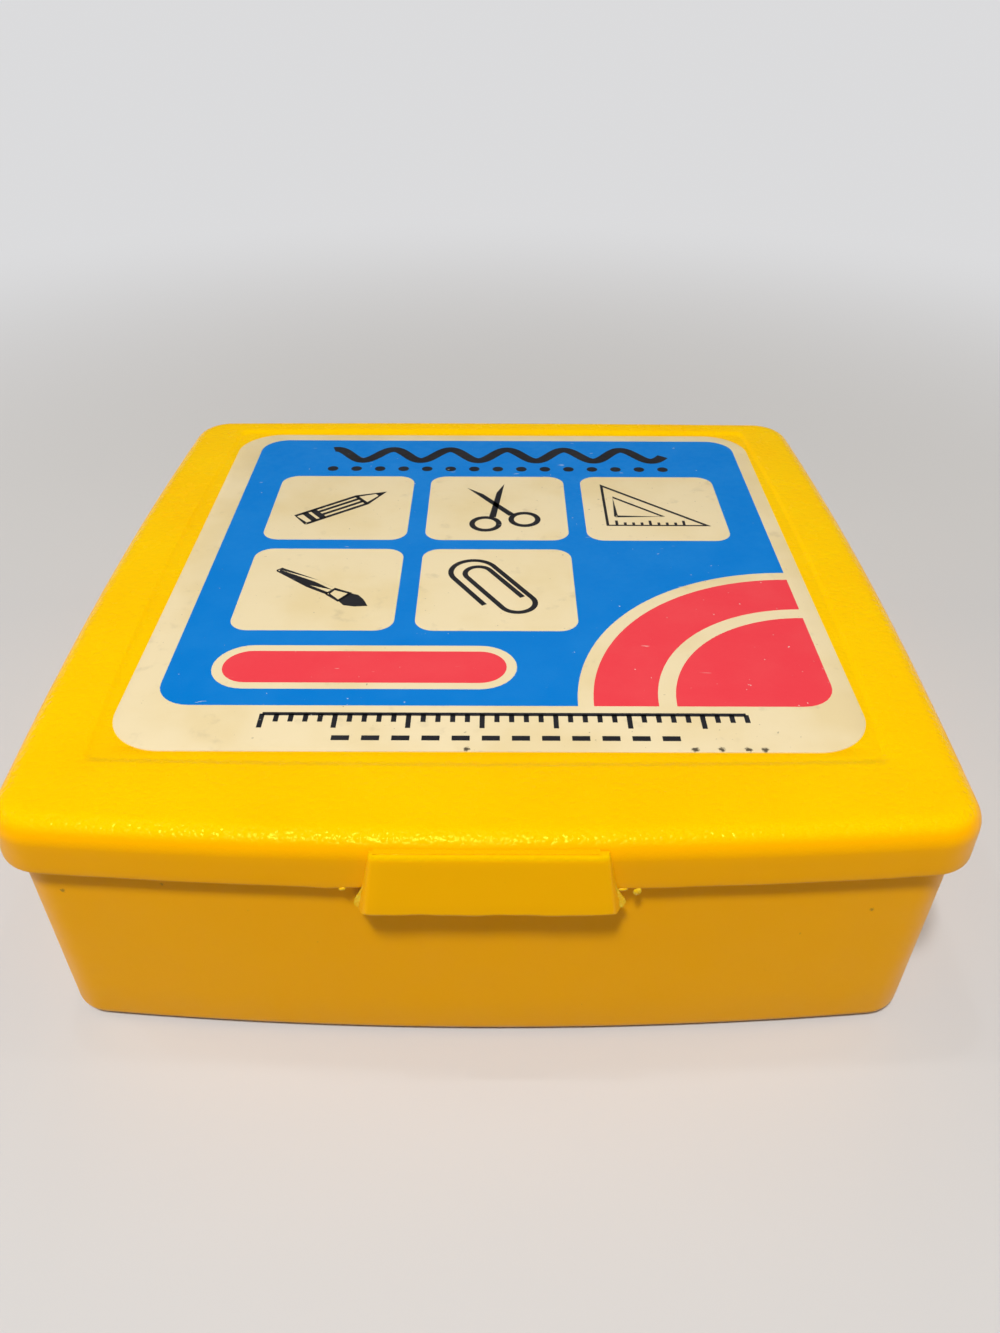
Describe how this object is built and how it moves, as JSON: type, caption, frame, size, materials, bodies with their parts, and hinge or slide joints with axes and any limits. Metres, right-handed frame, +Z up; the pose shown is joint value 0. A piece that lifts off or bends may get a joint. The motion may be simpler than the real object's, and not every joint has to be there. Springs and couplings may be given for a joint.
{
  "type": "crayon box",
  "caption": "Low square plastic box with bowed sides: an open tray, a skirted lid on a living hinge, a front snap tab and a printed label.",
  "frame": {"origin": "on the table under the middle of the lid's outline, in the plane of the tray's underside", "axes": "+Z up through the lid, -Y towards the latch tab at the front, +Y towards the hinge at the back, +X to the right as seen from the front"},
  "size_m": [0.127, 0.1296, 0.0396],
  "materials": {
    "tray_plastic": "smooth yellow polypropylene, soft gloss",
    "lid_plastic": "yellow polypropylene with a fine pebble grain on top",
    "printed_label": null
  },
  "bodies": {
    "tray_body": {"base_tray": "tray_plastic", "hinge_web": "tray_plastic"},
    "lid_body": {"lid": "lid_plastic", "label": "printed_label"},
    "tab_body": {"latch_tab": "lid_plastic"}
  },
  "joints": [
    {"name": "lid_hinge", "type": "hinge", "parent": "tray_body", "child": "lid_body", "pos_m": [0, 0.0649, 0.0315], "axis": [-1, 0, 0], "range_deg": [0, 190], "deforming": ["hinge_web"]},
    {"name": "tab_flex", "type": "hinge", "parent": "lid_body", "child": "tab_body", "pos_m": [0, -0.0635, 0.0382], "axis": [-1, 0, 0], "range_deg": [0, 8], "stiffness_Nm_per_rad": 0.2}
  ]
}
